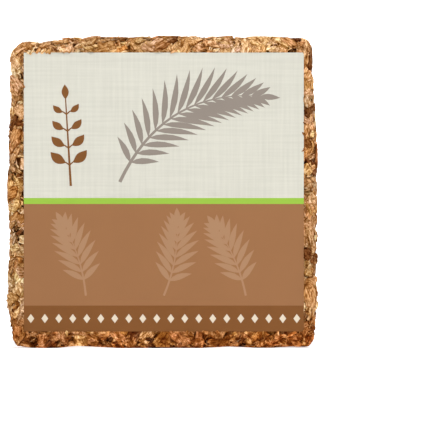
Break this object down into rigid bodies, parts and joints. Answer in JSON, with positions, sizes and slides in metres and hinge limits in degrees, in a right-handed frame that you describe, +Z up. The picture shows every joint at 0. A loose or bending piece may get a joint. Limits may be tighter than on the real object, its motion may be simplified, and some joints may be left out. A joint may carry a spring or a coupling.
{
  "type": "coconut chip block",
  "caption": "Square pressed block of coconut husk chips that stands on its edge, with a square paper label on its front face.",
  "frame": {"origin": "bottom centre of the block as it stands on its edge", "axes": "+Z up, the label faces -Y, +X to the right as the label is looked at"},
  "size_m": [0.3124, 0.125, 0.3135],
  "materials": {
    "husk": "rough fibrous husk chips, matt",
    "paper": "thin printed paper, satin"
  },
  "bodies": {
    "root": {"block": "husk", "label": "paper"}
  },
  "joints": []
}
